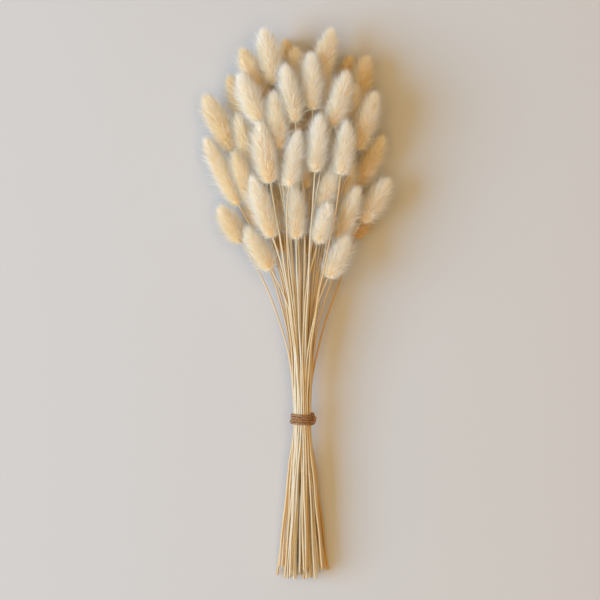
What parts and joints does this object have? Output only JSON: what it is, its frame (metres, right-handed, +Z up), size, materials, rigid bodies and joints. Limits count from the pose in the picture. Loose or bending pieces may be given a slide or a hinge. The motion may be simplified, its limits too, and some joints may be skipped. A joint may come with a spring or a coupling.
{
  "type": "bundle of bunny tail grass",
  "caption": "Dried bunny tail grass in a tied bunch: thin straw stems with soft egg-shaped heads that fan out, held by a wound brown twine, lying down.",
  "frame": {"origin": "under the middle of the bunch, on the surface that it lies on", "axes": "+Y along the bunch from the cut ends to the heads, +X across it, +Z up from the surface"},
  "size_m": [0.1362, 0.401, 0.0551],
  "materials": {
    "dried_grass": "dry straw, satin, pale gold",
    "head_fluff": "soft fine hairs, cream with a tan middle",
    "jute_twine": "rough twisted brown twine, matt"
  },
  "bodies": {
    "root": {"stalk_01": "dried_grass", "stalk_02": "dried_grass", "stalk_03": "dried_grass", "stalk_04": "dried_grass", "stalk_05": "dried_grass", "stalk_06": "dried_grass", "stalk_07": "dried_grass", "stalk_08": "dried_grass", "stalk_09": "dried_grass", "stalk_10": "dried_grass", "stalk_11": "dried_grass", "stalk_12": "dried_grass", "stalk_13": "dried_grass", "stalk_14": "dried_grass", "stalk_15": "dried_grass", "stalk_16": "dried_grass", "stalk_17": "dried_grass", "stalk_18": "dried_grass", "stalk_19": "dried_grass", "stalk_20": "dried_grass", "stalk_21": "dried_grass", "stalk_22": "dried_grass", "stalk_23": "dried_grass", "stalk_24": "dried_grass", "stalk_25": "dried_grass", "stalk_26": "dried_grass", "stalk_27": "dried_grass", "stalk_28": "dried_grass", "stalk_29": "dried_grass", "stalk_30": "dried_grass", "stalk_31": "dried_grass", "stalk_32": "dried_grass", "stalk_33": "dried_grass", "stalk_34": "dried_grass", "stalk_35": "dried_grass", "stalk_36": "dried_grass", "stalk_37": "dried_grass", "stalk_38": "dried_grass", "stalk_39": "dried_grass", "stalk_40": "dried_grass", "stalk_41": "dried_grass", "stalk_42": "dried_grass", "stalk_43": "dried_grass", "stalk_44": "dried_grass", "stalk_45": "dried_grass", "stalk_46": "dried_grass", "stalk_47": "dried_grass", "stalk_48": "dried_grass", "stalk_49": "dried_grass", "stalk_50": "dried_grass", "stalk_51": "dried_grass", "stalk_52": "dried_grass", "stalk_53": "dried_grass", "stalk_54": "dried_grass", "stalk_55": "dried_grass", "stalk_56": "dried_grass", "stalk_57": "dried_grass", "stalk_58": "dried_grass", "twine_tie": "jute_twine"}
  },
  "joints": []
}
